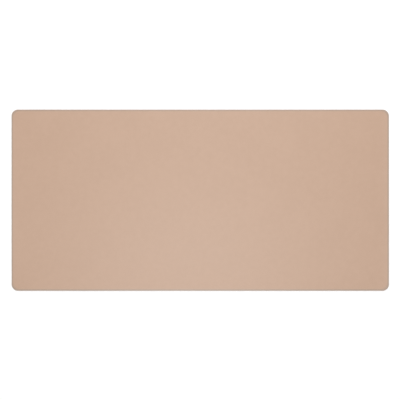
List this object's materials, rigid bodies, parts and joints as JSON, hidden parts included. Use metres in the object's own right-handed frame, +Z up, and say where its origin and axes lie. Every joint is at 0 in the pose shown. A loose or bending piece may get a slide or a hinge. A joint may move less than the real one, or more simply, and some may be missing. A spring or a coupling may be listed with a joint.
{
  "type": "desk mat",
  "caption": "Thin flat rectangular desk mat with rounded corners: smooth faux-leather face, stiffening core, non-slip suede underside and a painted edge.",
  "frame": {"origin": "on the desk surface, under the middle of the mat's underside", "axes": "+X along the long side to the right, +Y towards the back edge of the desk, +Z up out of the leather face"},
  "size_m": [0.9, 0.432, 0.002],
  "materials": {
    "face_leather": "satin",
    "face_foam": "matte",
    "face_cloth": "matte",
    "glue_film": "satin",
    "core_board": "matte",
    "backing_suede": "matte",
    "edge_paint": "satin"
  },
  "bodies": {
    "root": {"face_skin": "face_leather", "face_foam": "face_foam", "face_cloth": "face_cloth", "upper_glue_film": "glue_film", "core_sheet": "core_board", "lower_glue_film": "glue_film", "backing_suede": "backing_suede", "edge_seal": "edge_paint"}
  },
  "joints": []
}
